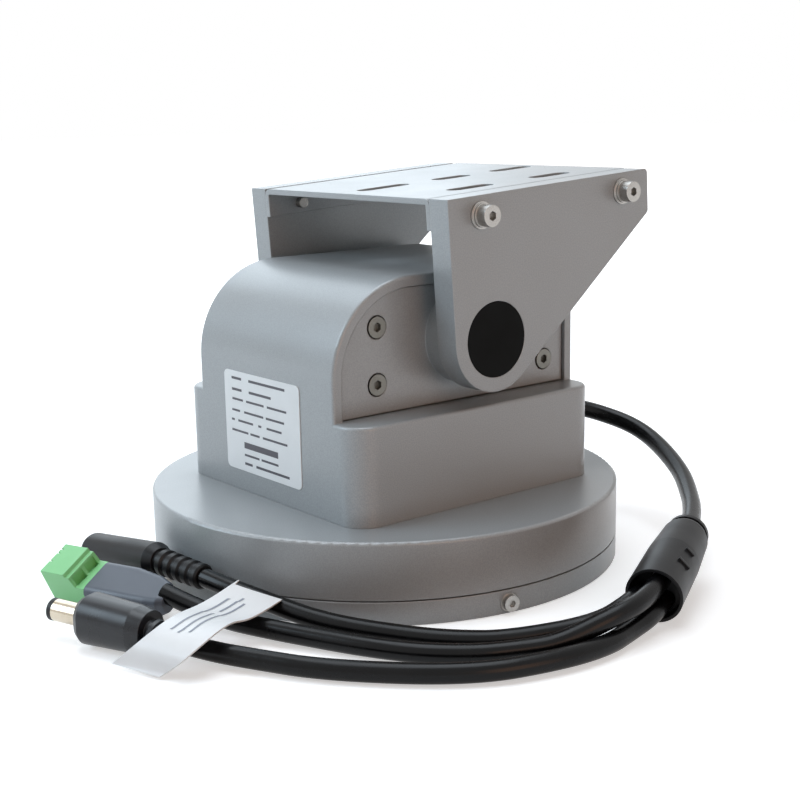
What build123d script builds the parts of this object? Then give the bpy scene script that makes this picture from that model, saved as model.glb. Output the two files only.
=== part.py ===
from build123d import *
import math
import os

os.makedirs("parts", exist_ok=True)

# Motorised pan and tilt head for a small camera, in millimetres.
# The pan axis is Z, with the origin on it at the underside of the base.
# The tilt axis runs along X, and the label face looks along -Y.

# Base and turntable
DISC_R = 65.0            # radius of the round base and of the turntable above it
SEAM_Z = 6.0             # top of the fixed base ring
SEAM_GAP = 0.4           # slit between the base ring and the turntable
DISC_TOP = 21.0          # top face of the turntable
DISC_EDGE = 0.8          # rounding of the turntable's rim
RING_WALL = 6.8          # wall of the base ring round its recess
WEB_RISE = 2.0           # how far the base web stands above the ring
WEB_GAP = 1.8            # from the raised web to the turntable's wall
TURN_WALL = 3.5
DECK = 3.0               # turntable deck thickness
PLATE_T = 4.5            # mounting plate thickness
FIT = 0.15               # side clearance of pieces that drop into a recess

# Mounting plate
BOLT_PCD = 90.0
BOLT_N = 4
BOLT_HOLE = 5.5
BOLT_SINK = 10.4         # countersink diameter for the bracket's screws
RING_SCREW_N = 4
RING_SCREW_ANGLE = -10.5
RING_SCREW_Z = 2.7
RING_FLAT = 0.5          # depth of the spot face that each ring screw's washer sits in
RING_WASHER_R = 2.4

# Pan drive
PAN_ID = 25.0            # ball bearing on the spindle
PAN_OD = 37.0
PAN_BEARING_W = 7.0
PAN_BALLS = 14
BALL_SHARE = 0.55        # ball diameter as a share of the height from bore to outside
SPINDLE_BORE = 16.0
SPINDLE_FLANGE_R = 22.0
SPINDLE_FLANGE_T = 2.5
SPINDLE_SHOULDER = 0.7
NUT_T = 2.0
RACE_SPACER = 1.0        # lip between the two pan bearings
BOSS_WALL = 4.0          # wall of the boss that carries the pan bearings
MODULE = 1.0
PRESSURE = 25.0          # tooth pressure angle in degrees
BACKLASH = 0.2
PAN_GEAR_N = 60
PAN_PINION_N = 12
PAN_GEAR_T = 4.5
PAN_GEAR_BORE = 49.0
GEAR_SCREW_N = 6
SPINDLE_SCREW_N = 4
SPINDLE_STEP = 1.3       # shoulder that the lower race stands on
SCREW_TIP = 0.2          # screw tip clear of the piece behind
PINION_T = 4.2
PINION_RISE = 0.7        # underside of the pan pinion above the base web
PAN_MOTOR_ANGLE = 225.0
MOTOR_R = 10.0
MOTOR_SHAFT_R = 1.5
PAN_MOTOR_L = 20.5
PILOT_R = 3.5
STOP_R = DISC_R - 15.0   # radius at which the pan stop works
STOP_LUG = 7.0           # how far the turntable's lug hangs down
STOP_DROP = 3.6          # top of the pin below the turntable's deck
STOP_PIN_R = 1.5

# Housing
BLOCK_HALF_X = 40.5
FRONT_Y = -40.0
BACK_Y = 43.0
BLOCK_CORNER = 7.0
SHELF_Z = 46.5
SHELF_EDGE = 0.9
BODY_HALF_X = 31.2
BODY_TOP = 81.0
ARCH_R = 25.0
REAR_R = 5.0
RIM = 2.8                # width of the rim round each side plate
RIM_EDGE = 0.8
WALL = 3.0
COVER_T = 3.0            # side plate thickness
COVER_RECESS = 1.0       # side plate below the rim
COVER_GAP = 0.3
FLANGE_T = 3.0           # inner web that the side plate screws into
FRONT_WEB_Y = -21.5
REAR_WEB_Y = 29.0
COVER_SCREWS = [(-25.2, 68.8), (-25.4, 54.2), (32.8, 53.5), (32.8, 70.5)]
POSTS = [(34.2, 36.2), (-34.2, 36.2), (34.5, -8.0), (-34.5, -8.0)]
POST_R = 3.8
POST_SCREW_L = 12.0

# Tilt drive and bracket
TILT_Y = 3.0
TILT_Z = 64.0
REST_TILT = 3.7          # the bracket leans this much towards the label face
SHAFT_R = 5.0
SHAFT_FLATS = 8.0
TILT_OD = 19.0
TILT_BEARING_W = 5.0
TILT_BALLS = 10
TILT_BOSS_R = 12.5
SECTOR_N = 44
TILT_PINION_N = 12
SECTOR_X = -23.0
SECTOR_T = 4.0
SECTOR_LOW = -20.0       # reach of the toothed sector each side of straight down
SECTOR_HIGH = 78.0
MESH_ANGLE = 35.0        # where the tilt pinion sits, from straight down towards the rear
HUB_R = 9.0
HUB_L = 8.0
MOTOR_PLATE_X = -15.0
MOTOR_PLATE_T = 2.0
TILT_MOTOR_L = 33.0
FOOT_GAP = 1.7           # motor bracket's foot from the bearing boss
FOOT_W = 11.0
FOOT_REACH = 10.0
ARM_IN = 36.5
ARM_T = 7.0
ARM_H = 37.0             # arm top above the tilt axis
ARM_R = 13.6             # round lower end of the arm
ARM_BACK = 58.6
ARM_HEEL = 11.7          # short upright edge at the rear of the arm
ARM_CORNER = 1.2
CAP_R = 9.8
CAP_T = 1.2
CAP_WELL = 4.0
SHEET = 1.5
SHEET_BEND = 2.0
LIP = 8.0                # height of the sheet's turned-down sides
ARM_SCREWS = [(10.6 - ARM_R, ARM_H - 5.0), (ARM_BACK - 10.3, ARM_H - 5.0)]
SLOT_W = 5.0
SLOTS = [(0.0, 1.0, 17.0), (0.0, 25.5, 13.0), (0.0, 48.5, 15.0), (26.5, 9.0, 15.0), (26.5, 38.0, 14.0)]

# Screws: shank radius, head radius, head height
M2 = (1.0, 1.9, 1.4)
M25 = (1.25, 2.25, 2.0)
M25_LOW = (1.25, 2.1, 1.4)
M3 = (1.5, 2.75, 3.0)
M3_LOW = (1.5, 2.75, 2.2)
M4_LOW = (2.0, 3.6, 1.6)
SOCKET = 0.45            # hex key size as a share of the head diameter
THREAD_FIT = 0.02
HOLE_FIT = 0.1
FLAT_WASHER_T = 0.5
SPRING_WASHER_T = 0.8

# Label, gland and leads
LABEL_W = 35.4
LABEL_H = 27.2
LABEL_T = 0.2
LABEL_AT = (-0.8, 40.3)
LABEL_R = 1.6
GLAND_X = 2.0
GLAND_Z = 33.0
GLAND_R = 4.4
GLAND_L = 7.0
MAIN_D = 5.0
LEAD_D = 4.8
SPLIT_TOP = Vector(77.5, 38.0, 12.0)
SPLIT_MOUTH = Vector(92.86, 7.98, 7.4)
SPLIT_R = 7.0
SPLIT_NECK = 5.0
SPLIT_WELL = 4.0
SPLIT_WALL = 0.8
SPLIT_GROOVE = 1.0       # depth of the groove behind the neck's dome
SPLIT_BARS = [(18.0, 2.6), (24.5, 3.6)]    # raised bars: place along the moulding and width
SPLIT_BAR_TURN = 43.0
JACK_END = Vector(13.9, -68.3, 9.3)      # each end of a lead: where the lead enters, where the
JACK_NECK = Vector(-2.9, -70.7, 9.7)     # strain relief meets the moulding, and the outer tip
JACK_TIP = Vector(-36.2, -73.3, 5.3)
TERM_END = Vector(13.7, -77.8, 7.8)
TERM_TIP = Vector(-19.7, -91.2, 7.6)
TERM_ROLL = 23.5
PLUG_END = Vector(34.4, -90.8, 4.95)
PLUG_NECK = Vector(30.4, -92.4, 6.1)
PLUG_TIP = Vector(2.8, -103.2, 6.6)

# Control board inside the block
BOARD_X = (-10.0, 33.0)
BOARD_STANDOFF = 3.0
BOARD_T = 1.6
BOARD_INSET = 3.0       # screw hole from each edge of the board

# Plugs, terminal and flag on the three leads
RELIEF_CORE = LEAD_D / 2 + 0.4
JACK_R = 4.75
JACK_RELIEF_R = 3.5
JACK_NOSE = 1.6          # length over which the tip rounds off
JACK_BORE = 2.9
JACK_DEPTH = 9.5
TERM_BLOCK_L = 12.7
TERM_W = 10.6
TERM_H = 9.0
TERM_PITCH = 5.08
TERM_CREST = 7.5         # length of the block's high part
TERM_LEDGE = 0.9         # drop to the ledge beside it
TERM_DROP = 3.7          # drop to the low part beside the overmould
TERM_SIDE = 0.6          # the overmould is this much wider at each side
TERM_NOTCHES = (1.2, -1.9, -3.4)
PLUG_RELIEF_R = 3.6
PLUG_BARREL = 10.5
PLUG_TIP_RING = 1.3
BARREL_R = 2.75
PLUG_BORE_R = 1.25
TAG_T = 0.4
TAG_FOLD_T = 0.6         # the film doubled and glued where it wraps the lead
TAG_FOLD_W = 13.8
TAG_FOLD = Vector(30.57, -62.35, 6.58)          # middle of the fold, on the socket's lead
TAG_FOLD_DIR = Vector(0.898, 0.401, -0.18)      # the lead's own direction there
# The strip's two long edges from the fold to the floor, point by point
TAG_LEFT = [(24.7, -65.0, 10.5), (26.5, -73.2, 8.9), (29.3, -81.4, 8.6), (34.9, -91.7, 9.3), (35.5, -96.9, 7.4),
            (32.8, -100.2, 4.0), (29.6, -102.1, 0.9)]
TAG_RIGHT = [(37.3, -59.3, 8.0), (39.1, -67.3, 7.2), (42.1, -75.8, 7.8), (47.9, -86.5, 8.8), (48.9, -92.7, 6.5),
             (45.9, -95.2, 3.2), (42.8, -97.4, 0.5)]

# Routes of the leads, point by point from where each one leaves to where it ends
MAIN_ROUTE = [(2, 50, 33), (2, 59, 33), (5.4, 68.8, 31.1), (12.7, 76.3, 28.4), (22.6, 79.8, 25.6), (32.8, 78.7, 22.1),
              (46.9, 71.9, 18.1), (56, 64.6, 15.7), (68.1, 52.6, 13.4), (76.1, 40.7, 12.4)]
JACK_ROUTE = [(88.5, 10.3, 7.5), (90.7, 1.9, 6.5), (90, -8.9, 3.7), (81.2, -28.6, 2.42), (73.6, -37.2, 2.42),
              (64.4, -44.2, 2.5), (46.5, -55.8, 3.6), (29.8, -62.6, 6.7), (21.3, -66.9, 8.6), (12.3, -68.5, 9.3)]
TERM_ROUTE = [(92.1, 11.6, 10.7), (96.7, 1.2, 9.4), (96.7, -10.7, 7.9), (91.5, -22.7, 3.1), (87.5, -30.1, 2.5),
              (82.1, -40.4, 2.42), (69.4, -52.3, 2.45), (41.3, -66.0, 2.8), (24.8, -73.5, 3.6), (12.4, -78.8, 7.5)]
PLUG_ROUTE = [(92.5, 12.7, 5.7), (95.2, 5.3, 4.1), (96, -3.9, 2.6), (98.3, -13.6, 2.42), (97.4, -28.4, 2.7),
              (90.4, -48.1, 2.43), (67.9, -70, 2.42), (50.5, -79.6, 2.6), (42, -84.9, 3.2), (33.1, -91.3, 5.3)]

# Places worked out from the sizes above
WEB_R = DISC_R - TURN_WALL - WEB_GAP
WEB_TOP = SEAM_Z + WEB_RISE
RECESS_R = DISC_R - RING_WALL
TURN_Z = SEAM_Z + SEAM_GAP
CAVITY_TOP = DISC_TOP - DECK
SPINDLE_R = PAN_ID / 2
BOSS_R = PAN_OD / 2 + BOSS_WALL
PAN_B1 = WEB_TOP + SPINDLE_FLANGE_T + SPINDLE_SHOULDER
PAN_B2 = PAN_B1 + PAN_BEARING_W + RACE_SPACER
BOSS_TOP = PAN_B2 + PAN_BEARING_W
PAN_CENTRES = MODULE * (PAN_GEAR_N + PAN_PINION_N) / 2
PAN_MOTOR_X = PAN_CENTRES * math.cos(math.radians(PAN_MOTOR_ANGLE))
PAN_MOTOR_Y = PAN_CENTRES * math.sin(math.radians(PAN_MOTOR_ANGLE))
PINION_Z = WEB_TOP + PINION_RISE
TILT_CENTRES = MODULE * (SECTOR_N + TILT_PINION_N) / 2
TILT_MOTOR_Y = TILT_Y + TILT_CENTRES * math.sin(math.radians(MESH_ANGLE))
TILT_MOTOR_Z = TILT_Z - TILT_CENTRES * math.cos(math.radians(MESH_ANGLE))
COVER_OUT = BODY_HALF_X - COVER_RECESS
COVER_IN = COVER_OUT - COVER_T
WEB_IN = COVER_IN - FLANGE_T
TILT_B_IN = COVER_IN + 2.1
TILT_B_OUT = TILT_B_IN + TILT_BEARING_W
BOSS_END = TILT_B_OUT + 0.9
ARM_OUT = ARM_IN + ARM_T
SPINDLE_SCREW_R = (SPINDLE_R + SPINDLE_SHOULDER + SPINDLE_STEP + SPINDLE_FLANGE_R) / 2
GEAR_SCREW_R = (PAN_GEAR_BORE / 2 + MODULE * PAN_GEAR_N / 2 - 1.25 * MODULE) / 2
FOOT_Y0 = BOSS_R + FOOT_GAP
FOOT_Y1 = FOOT_Y0 + FOOT_W
BOARD_Y = FRONT_Y + WALL + BOARD_STANDOFF
BOARD_Z = (DISC_TOP + 1.5, SHELF_Z - WALL - 1.0)
BOARD_HOLES = [(x, z) for x in (BOARD_X[0] + BOARD_INSET, BOARD_X[1] - BOARD_INSET)
               for z in (BOARD_Z[0] + BOARD_INSET, BOARD_Z[1] - BOARD_INSET)]
TILT_AXIS = Pos(0, TILT_Y, TILT_Z)
BRACKET = TILT_AXIS * Rot(REST_TILT, 0, 0)
CENTRED = (Align.CENTER, Align.CENTER, Align.CENTER)
UPWARD = (Align.CENTER, Align.CENTER, Align.MIN)


def rod(radius, length, at=(0, 0, 0), along=(0, 0, 1)):
    """A round bar that starts at a point and runs one way."""
    return Plane(origin=at, z_dir=along) * Cylinder(radius, length, align=UPWARD)


def tube(outer, inner, length, at=(0, 0, 0), along=(0, 0, 1)):
    return rod(outer, length, at, along) - rod(inner, length, at, along)


def slab(x0, x1, y0, y1, z0, z1):
    """A box between two corners."""
    centre = ((x0 + x1) / 2, (y0 + y1) / 2, (z0 + z1) / 2)
    return Pos(*centre) * Box(x1 - x0, y1 - y0, z1 - z0, align=CENTRED)


def turned(profile, at=(0, 0, 0), along=(0, 0, 1)):
    """A lathe-turned solid from (radius, height) corners."""
    corners = [(r, 0, z) for r, z in profile]
    face = Face(Wire.make_polygon([Vector(*c) for c in corners], close=True))
    return Plane(origin=at, z_dir=along) * revolve(face, Axis.Z)


def ribbed(stations, at, along):
    """Straight-sided rings between circles of (height, radius), as on a strain relief."""
    plane = Plane(origin=at, z_dir=along)
    rings = [plane.offset(z) * Circle(r) for z, r in stations]
    return loft(rings, ruled=True)


def pieces(items):
    """Separate solids kept together in one group."""
    return Compound(children=[solid for item in items for solid in item.solids()])


def polar(radius, degrees, z=0.0):
    return (radius * math.cos(math.radians(degrees)), radius * math.sin(math.radians(degrees)), z)


def screw(size, length, at, along):
    """A socket head screw: the point lies under the head, and the shank runs along."""
    shank, head, height = size
    away = Vector(*along).normalized()
    seat = Vector(*at)
    body = rod(shank, length, seat, away) + rod(head, height, seat, away * -1)
    key = Plane(origin=seat - away * height, z_dir=away) * extrude(RegularPolygon(head * SOCKET, 6), height * 0.6)
    return body - key


def sunk_screw(size, length, at, along):
    """A countersunk screw whose head ends flush at the point."""
    shank, head, height = size
    sink = head - shank
    profile = [(0, 0), (head, 0), (shank, sink), (shank, length), (0, length)]
    cone = turned(profile, at, along)
    key = Plane(origin=at, z_dir=along) * extrude(RegularPolygon(head * SOCKET, 6), sink * 0.8)
    return cone - key


def sink_hole(shank, head, length, at, along):
    """The hole that a countersunk screw drops into."""
    wide = head + HOLE_FIT
    tight = shank + HOLE_FIT
    return turned([(0, 0), (wide, 0), (tight, wide - tight), (tight, length), (0, length)], at, along)


def gear_face(teeth, phase):
    """Involute gear outline, with one tooth centred on the phase angle."""
    pitch_r = MODULE * teeth / 2
    base_r = pitch_r * math.cos(math.radians(PRESSURE))
    tip_r = pitch_r + MODULE
    root_r = pitch_r - 1.25 * MODULE
    start_r = max(base_r, root_r)

    def half_angle(radius):
        at_pitch = math.pi / (2 * teeth) - BACKLASH / (4 * pitch_r)
        pressure = math.radians(PRESSURE)
        here = math.acos(min(1.0, base_r / radius))
        return at_pitch + (math.tan(pressure) - pressure) - (math.tan(here) - here)

    def point(radius, angle):
        return Vector(radius * math.cos(angle), radius * math.sin(angle), 0)

    flank = [start_r + (tip_r - start_r) * i / 3 for i in range(4)]
    step = 2 * math.pi / teeth
    edges = []
    for tooth in range(teeth):
        mid = math.radians(phase) + tooth * step
        rise = [point(r, mid - half_angle(r)) for r in flank]
        fall = [point(r, mid + half_angle(r)) for r in reversed(flank)]
        foot_in = point(root_r, mid - half_angle(start_r))
        foot_out = point(root_r, mid + half_angle(start_r))
        next_foot = point(root_r, mid + step - half_angle(start_r))
        if root_r < start_r:
            edges.append(Edge.make_line(foot_in, rise[0]))
        edges.append(Edge.make_spline(rise))
        edges.append(Edge.make_three_point_arc(rise[-1], point(tip_r, mid), fall[0]))
        edges.append(Edge.make_spline(fall))
        if root_r < start_r:
            edges.append(Edge.make_line(fall[-1], foot_out))
        edges.append(Edge.make_three_point_arc(foot_out, point(root_r, mid + step / 2), next_foot))
    return Face(Wire(edges))


def ball_size(bore, outer):
    return BALL_SHARE * (outer - bore) / 2


def races(bore, outer, width, at, along):
    """Inner and outer ring of a ball bearing, grooved for its balls."""
    ball = ball_size(bore, outer)
    pitch = (bore + outer) / 4
    gap = ball * 0.25
    place = Plane(origin=at, z_dir=along)
    groove = place * (Pos(0, 0, width / 2) * Torus(pitch, ball / 2 + 0.05))
    inner = tube(pitch - gap, bore / 2, width, at, along) - groove
    ring = tube(outer / 2, pitch + gap, width, at, along) - groove
    return inner, ring


def balls(bore, outer, width, count, at, along):
    ball = ball_size(bore, outer)
    pitch = (bore + outer) / 4
    place = Plane(origin=at, z_dir=along)
    return [place * (Rot(0, 0, 360 * i / count) * Pos(pitch, 0, width / 2) * Sphere(ball / 2)) for i in range(count)]


def lead(route, diameter, name):
    """A round lead: straight runs joined by arcs as large as the runs allow."""
    points = [Vector(*p) for p in route]
    radii = []
    for before, here, after in zip(points, points[1:], points[2:]):
        turn = (here - before).get_angle(after - here)
        short = min((here - before).length, (after - here).length)
        radii.append(0.45 * short / math.tan(math.radians(turn) / 2))
    path = FilletPolyline(*points, radius=radii)
    section = Plane(origin=points[0], z_dir=points[1] - points[0]) * Circle(diameter / 2)
    solid = sweep(section, path=path)
    share = solid.volume / (math.pi * diameter ** 2 / 4 * path.length)
    print(f"{name}: length {path.length:.1f}, radii {[round(r, 1) for r in radii]}, volume share {share:.4f}")
    return solid


# Fixed base
def ring_screw_places():
    return [RING_SCREW_ANGLE + 360 * i / RING_SCREW_N for i in range(RING_SCREW_N)]


def base_ring():
    body = rod(DISC_R, SEAM_Z) + rod(WEB_R, WEB_TOP)
    body -= rod(RECESS_R, PLATE_T)
    seat = DISC_R - RING_FLAT
    for angle in ring_screw_places():
        body -= rod(M25_LOW[0] + HOLE_FIT, RING_WALL * 2, polar(DISC_R + 1, angle, RING_SCREW_Z), polar(-1, angle))
        flat = Plane(origin=polar(seat, angle, RING_SCREW_Z), z_dir=polar(1, angle))
        body -= flat * Cylinder(RING_WASHER_R + 0.05, RING_FLAT * 2, align=UPWARD)
    for angle in spindle_screw_angles():
        body -= rod(M3[0] + THREAD_FIT, WEB_TOP, polar(SPINDLE_SCREW_R, angle, 0))
    for angle in gear_screw_angles():
        body -= rod(M2[0] + THREAD_FIT, WEB_TOP, polar(GEAR_SCREW_R, angle, 0))
    return body - rod(STOP_PIN_R, WEB_TOP, (-STOP_R, 0, 0))


def spindle_screw_angles():
    return [45 + 360 * i / SPINDLE_SCREW_N for i in range(SPINDLE_SCREW_N)]


def gear_screw_angles():
    return [360 * (i + 0.5) / GEAR_SCREW_N for i in range(GEAR_SCREW_N)]


def mounting_plate():
    body = rod(RECESS_R - FIT, PLATE_T)
    sink = (BOLT_SINK - BOLT_HOLE) / 2
    hole = [(0, 0), (BOLT_HOLE / 2, 0), (BOLT_HOLE / 2, PLATE_T - sink), (BOLT_SINK / 2, PLATE_T), (0, PLATE_T)]
    for i in range(BOLT_N):
        body -= turned(hole, polar(BOLT_PCD / 2, 45 + 360 * i / BOLT_N))
    for angle in ring_screw_places():
        body -= rod(M25_LOW[0] + THREAD_FIT, RING_WALL, polar(RECESS_R, angle, RING_SCREW_Z), polar(-1, angle))
    return body


def ring_screws():
    seat = DISC_R - RING_FLAT + FLAT_WASHER_T
    length = RING_WALL + 4.0
    return pieces([screw(M25_LOW, length, polar(seat, a, RING_SCREW_Z), polar(-1, a)) for a in ring_screw_places()])


def ring_washers():
    seat = DISC_R - RING_FLAT
    bore = M25_LOW[0] + HOLE_FIT
    return pieces([tube(RING_WASHER_R, bore, FLAT_WASHER_T, polar(seat, a, RING_SCREW_Z), polar(1, a))
                   for a in ring_screw_places()])


def pan_spindle():
    body = rod(SPINDLE_FLANGE_R, SPINDLE_FLANGE_T, (0, 0, WEB_TOP))
    body += rod(SPINDLE_R + SPINDLE_STEP, PAN_B1 - WEB_TOP, (0, 0, WEB_TOP))
    body += rod(SPINDLE_R, BOSS_TOP + NUT_T - WEB_TOP, (0, 0, WEB_TOP))
    body -= rod(SPINDLE_BORE / 2, BOSS_TOP + NUT_T, (0, 0, 0))
    top = WEB_TOP + SPINDLE_FLANGE_T
    for angle in spindle_screw_angles():
        body -= sink_hole(M3[0], M3[1], SPINDLE_FLANGE_T, polar(SPINDLE_SCREW_R, angle, top), (0, 0, -1))
    return body


def spindle_screws():
    top = WEB_TOP + SPINDLE_FLANGE_T
    length = top - PLATE_T - SCREW_TIP
    return pieces([sunk_screw(M3, length, polar(SPINDLE_SCREW_R, a, top), (0, 0, -1)) for a in spindle_screw_angles()])


def spindle_nut():
    return tube(SPINDLE_R + 2.6, SPINDLE_R + THREAD_FIT, NUT_T, (0, 0, BOSS_TOP))


def pan_gear():
    body = Pos(0, 0, WEB_TOP) * extrude(gear_face(PAN_GEAR_N, PAN_MOTOR_ANGLE), PAN_GEAR_T)
    body -= rod(PAN_GEAR_BORE / 2, PAN_GEAR_T, (0, 0, WEB_TOP))
    for angle in gear_screw_angles():
        top = WEB_TOP + PAN_GEAR_T
        body -= rod(M2[0] + HOLE_FIT, PAN_GEAR_T, polar(GEAR_SCREW_R, angle, WEB_TOP))
        body -= rod(M2[1] + HOLE_FIT, M2[2], polar(GEAR_SCREW_R, angle, top), (0, 0, -1))
    return body


def gear_screws():
    seat = WEB_TOP + PAN_GEAR_T - M2[2]
    length = seat - PLATE_T - SCREW_TIP
    return pieces([screw(M2, length, polar(GEAR_SCREW_R, a, seat), (0, 0, -1)) for a in gear_screw_angles()])


def pan_bearing_parts():
    inner, outer, spheres = [], [], []
    for z in (PAN_B1, PAN_B2):
        ring_in, ring_out = races(PAN_ID, PAN_OD, PAN_BEARING_W, (0, 0, z), (0, 0, 1))
        inner.append(ring_in)
        outer.append(ring_out)
        spheres += balls(PAN_ID, PAN_OD, PAN_BEARING_W, PAN_BALLS, (0, 0, z), (0, 0, 1))
    lip = tube(SPINDLE_R + 1.6, SPINDLE_R, RACE_SPACER, (0, 0, PAN_B1 + PAN_BEARING_W))
    return pieces(inner + [lip]), pieces(outer), pieces(spheres)


def stop_pin():
    return rod(STOP_PIN_R, CAVITY_TOP - STOP_DROP - PLATE_T, (-STOP_R, 0, PLATE_T))


# Turntable and housing
def pan_motor_screw_places():
    """Two screws, square to the line from the pan axis."""
    across = PAN_MOTOR_ANGLE + 90
    reach = MOTOR_R * 0.72
    dx, dy, _ = polar(reach, across)
    return [(PAN_MOTOR_X + s * dx, PAN_MOTOR_Y + s * dy) for s in (-1, 1)]


def turntable():
    body = rod(DISC_R, DISC_TOP - TURN_Z, (0, 0, TURN_Z))
    body = fillet(body.edges().sort_by(Axis.Z)[-1:], DISC_EDGE)
    body -= rod(DISC_R - TURN_WALL, CAVITY_TOP - TURN_Z, (0, 0, TURN_Z))
    body += rod(BOSS_R, BOSS_TOP - PAN_B1, (0, 0, PAN_B1))
    body -= rod(PAN_OD / 2, PAN_BEARING_W, (0, 0, PAN_B1))
    body -= rod(PAN_OD / 2, PAN_BEARING_W, (0, 0, PAN_B2))
    body -= rod(PAN_OD / 2 - 1.2, BOSS_TOP, (0, 0, 0))
    body += slab(STOP_R - 4, STOP_R + 4, -STOP_PIN_R, STOP_PIN_R, CAVITY_TOP - STOP_LUG, CAVITY_TOP)
    body -= rod(PILOT_R + HOLE_FIT, DISC_TOP, (PAN_MOTOR_X, PAN_MOTOR_Y, 0))
    for x, y in pan_motor_screw_places():
        body -= rod(M25[0] + HOLE_FIT, DISC_TOP, (x, y, 0))
    for x, y in POSTS:
        body -= rod(M3[0] + HOLE_FIT, DISC_TOP, (x, y, 0))
    for x, y in foot_screw_places():
        body -= rod(M25[0] + THREAD_FIT, DISC_TOP, (x, y, 0))
    return body


def body_profile(inset, bottom):
    """The arched side outline of the body, drawn in by an inset, as a face in the YZ plane."""
    front = FRONT_Y + inset
    back = BACK_Y - inset
    top = BODY_TOP - inset
    arch = ARCH_R - inset
    rear = max(REAR_R - inset, 0.6)
    start = Vector(0, front, bottom)
    spring = Vector(0, front, top - arch)
    crown = Vector(0, front + arch, top)
    shoulder = Vector(0, back - rear, top)
    drop = Vector(0, back, top - rear)
    end = Vector(0, back, bottom)
    lean = math.sqrt(0.5)
    arch_mid = Vector(0, front + arch * (1 - lean), top - arch * (1 - lean))
    rear_mid = Vector(0, back - rear * (1 - lean), top - rear * (1 - lean))
    return Face(Wire([
        Edge.make_line(start, spring),
        Edge.make_three_point_arc(spring, arch_mid, crown),
        Edge.make_line(crown, shoulder),
        Edge.make_three_point_arc(shoulder, rear_mid, drop),
        Edge.make_line(drop, end),
        Edge.make_line(end, start),
    ]))


def body_slice(inset, bottom, x0, x1):
    return Pos(x0, 0, 0) * extrude(body_profile(inset, bottom), x1 - x0, dir=(1, 0, 0))


def block(inset, bottom, top):
    middle = (FRONT_Y + BACK_Y) / 2
    depth = BACK_Y - FRONT_Y - 2 * inset
    corner = BLOCK_CORNER - inset
    outline = RectangleRounded(2 * (BLOCK_HALF_X - inset), depth, corner)
    return Pos(0, middle, bottom) * extrude(outline, top - bottom)


def housing():
    lower = block(0, DISC_TOP, SHELF_Z)
    lower = fillet(lower.faces().sort_by(Axis.Z)[-1].edges(), SHELF_EDGE)
    upper = body_slice(0, DISC_TOP, -BODY_HALF_X, BODY_HALF_X)
    sides = upper.faces().sort_by(Axis.X)
    rim_edges = [e for f in (sides[0], sides[-1]) for e in f.edges() if e.center().Z > DISC_TOP + 1]
    upper = fillet(rim_edges, RIM_EDGE)
    body = lower + upper
    body -= block(WALL, DISC_TOP, SHELF_Z - WALL)
    body -= body_slice(WALL, DISC_TOP, -WEB_IN, WEB_IN)
    window = slab(-COVER_IN, COVER_IN, FRONT_WEB_Y, REAR_WEB_Y, SHELF_Z, BODY_TOP)
    body -= window & body_slice(WALL, SHELF_Z, -COVER_IN, COVER_IN)
    for side in (-1, 1):
        body -= body_slice(RIM, SHELF_Z, min(side * COVER_IN, side * DISC_R), max(side * COVER_IN, side * DISC_R))
    for x, y in POSTS:
        body += rod(POST_R, SHELF_Z - WALL - DISC_TOP, (x, y, DISC_TOP))
        body -= rod(M3[0] + THREAD_FIT, POST_SCREW_L - 1.0, (x, y, DISC_TOP))
    for y, z in COVER_SCREWS:
        for side in (-1, 1):
            body -= rod(M3[0] + THREAD_FIT, FLANGE_T, (side * WEB_IN, y, z), (side, 0, 0))
    body -= rod(GLAND_R + HOLE_FIT, 4 * WALL, (GLAND_X, BACK_Y + 1, GLAND_Z), (0, -1, 0))
    return body


def housing_screws():
    return pieces([screw(M3, POST_SCREW_L, (x, y, CAVITY_TOP), (0, 0, 1)) for x, y in POSTS])


def side_plate(side):
    """Cover that closes one side of the body and carries the tilt bearing in its boss."""
    x0, x1 = sorted((side * COVER_IN, side * COVER_OUT))
    body = body_slice(RIM + COVER_GAP, SHELF_Z + COVER_GAP, x0, x1)
    out = (side, 0, 0)
    start = COVER_IN - 2.2
    body += rod(TILT_BOSS_R, BOSS_END - start, (side * start, TILT_Y, TILT_Z), out)
    body -= rod(SHAFT_R + 3.0, BOSS_END, (0, TILT_Y, TILT_Z), out)
    body -= rod(TILT_OD / 2, BOSS_END, (side * TILT_B_IN, TILT_Y, TILT_Z), out)
    for y, z in COVER_SCREWS:
        body -= rod(M3_LOW[0] + HOLE_FIT, COVER_OUT, (0, y, z), out)
        body -= rod(M3_LOW[1] + 0.3, COVER_T, (side * (COVER_OUT - M3_LOW[2] + 0.3), y, z), out)
    return body


def cover_screws():
    seat = COVER_OUT - M3_LOW[2] + 0.3
    length = seat - WEB_IN
    return pieces([screw(M3_LOW, length, (s * seat, y, z), (-s, 0, 0)) for s in (-1, 1) for y, z in COVER_SCREWS])


def tilt_bearing_parts():
    inner, outer, spheres = [], [], []
    for side in (-1, 1):
        at = (side * TILT_B_IN, TILT_Y, TILT_Z)
        along = (side, 0, 0)
        ring_in, ring_out = races(2 * SHAFT_R, TILT_OD, TILT_BEARING_W, at, along)
        inner.append(ring_in)
        outer.append(ring_out)
        spheres += balls(2 * SHAFT_R, TILT_OD, TILT_BEARING_W, TILT_BALLS, at, along)
    return pieces(inner), pieces(outer), pieces(spheres)


# Drives
def motor(at, along, length):
    """Geared motor: pilot, gearbox with a groove, can and rear cap. The point is on its mounting face."""
    away = Vector(*along).normalized()
    face = Vector(*at)
    body = rod(MOTOR_R, length, face, away) + rod(PILOT_R, DECK - 1.0, face, away * -1)
    body -= tube(MOTOR_R + 1, MOTOR_R - 0.5, 0.8, face + away * length * 0.4, away)
    body += rod(MOTOR_R * 0.45, 1.6, face + away * length, away)
    return body - rod(MOTOR_SHAFT_R + 0.1, DECK + length * 0.3, face - away * DECK, away)


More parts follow.
